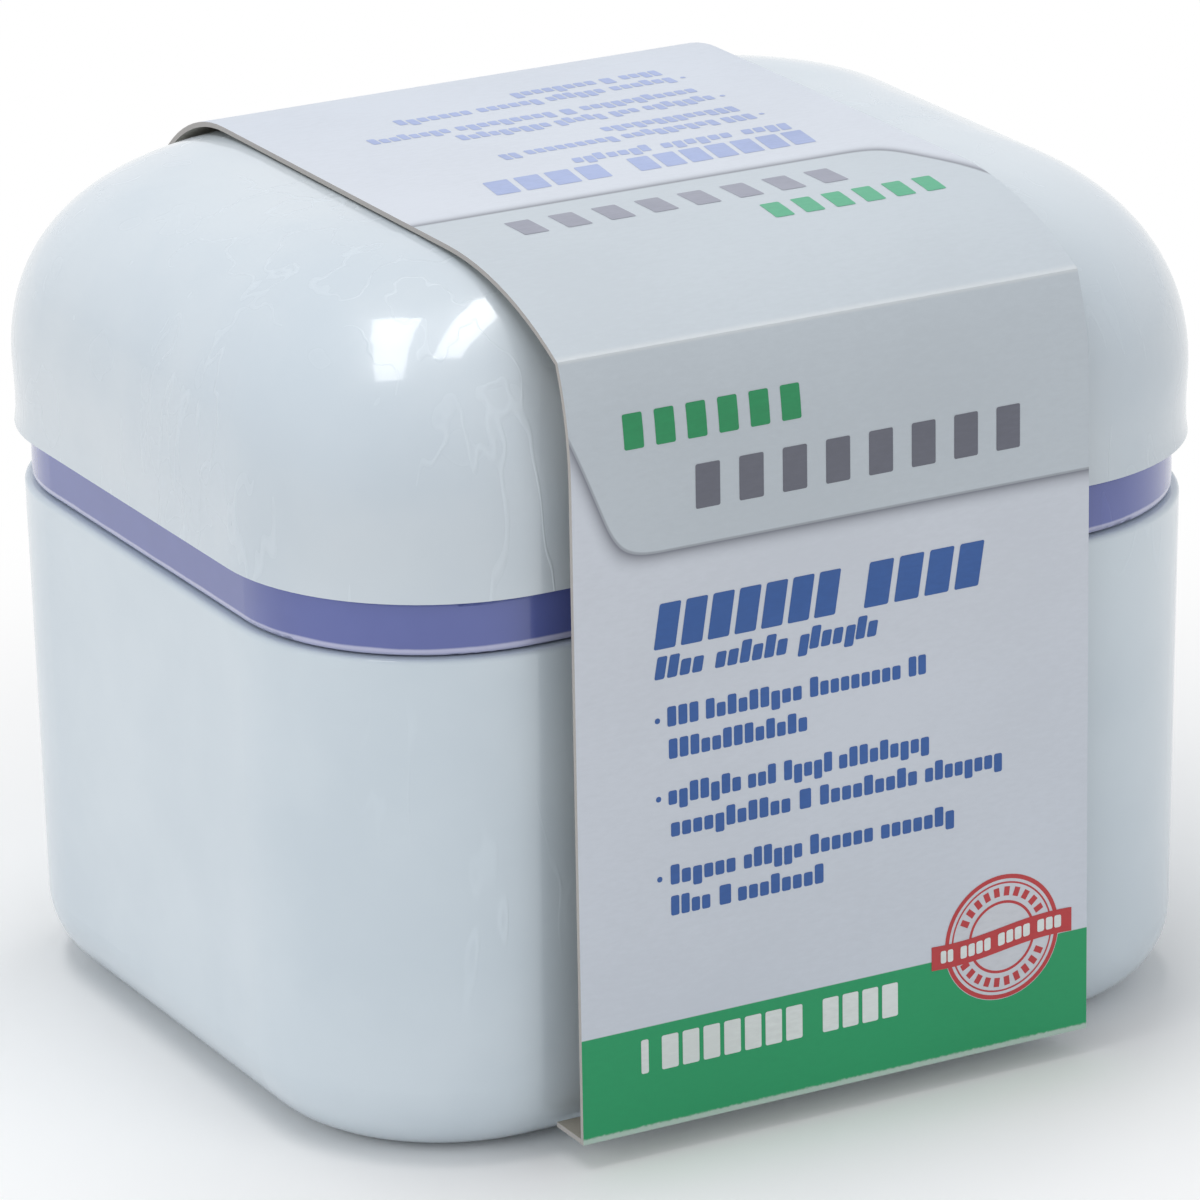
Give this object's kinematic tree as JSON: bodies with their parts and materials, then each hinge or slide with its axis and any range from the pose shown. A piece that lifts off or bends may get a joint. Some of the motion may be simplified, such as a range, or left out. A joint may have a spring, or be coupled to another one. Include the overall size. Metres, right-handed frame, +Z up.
{
  "type": "denture bath",
  "caption": "Rounded box with a hinged domed lid over a lift-out strainer basket with a bail handle, for soaking a denture, in a card sleeve.",
  "frame": {"origin": "centre of the tub's flat underside", "axes": "+Z up; +X to the right seen from the front; the front faces -Y; the lid's hinge is at +Y"},
  "size_m": [0.0918, 0.0853, 0.0764],
  "materials": {
    "tub": "pale blue-white moulded polypropylene, satin gloss",
    "lid": "pale blue-white moulded polypropylene, satin gloss",
    "basket": "violet-blue translucent moulded plastic",
    "basket_handle": "violet-blue translucent moulded plastic",
    "hinge_pin": "pale plastic rod",
    "sleeve": "printed card, semi-matt"
  },
  "bodies": {
    "tub": {"tub": "tub", "hinge_pin": "hinge_pin"},
    "basket": {"basket": "basket"},
    "handle": {"basket_handle": "basket_handle"},
    "lid": {"lid": "lid"},
    "sleeve": {"sleeve": "sleeve"}
  },
  "joints": [
    {"name": "lid_hinge", "type": "hinge", "parent": "tub", "child": "lid", "pos_m": [0, 0.0411, 0.0493], "axis": [-1, 0, 0], "range_deg": [0, 110]},
    {"name": "basket_lift", "type": "slide", "parent": "tub", "child": "basket", "axis": [0, 0, 1], "range_m": [0, 0.0385]},
    {"name": "handle_swing", "type": "hinge", "parent": "basket", "child": "handle", "pos_m": [0, 0, 0.04835], "axis": [-1, 0, 0], "range_deg": [0, 89]},
    {"name": "sleeve_slide", "type": "slide", "parent": "lid", "child": "sleeve", "axis": [1, 0, 0], "range_m": [-0.075, 0.075]}
  ],
  "couplings": [
    {"joint": "basket_lift", "follows": "lid_hinge", "m_per_rad": 0.02},
    {"joint": "handle_swing", "follows": "lid_hinge", "ratio": 0.8}
  ]
}
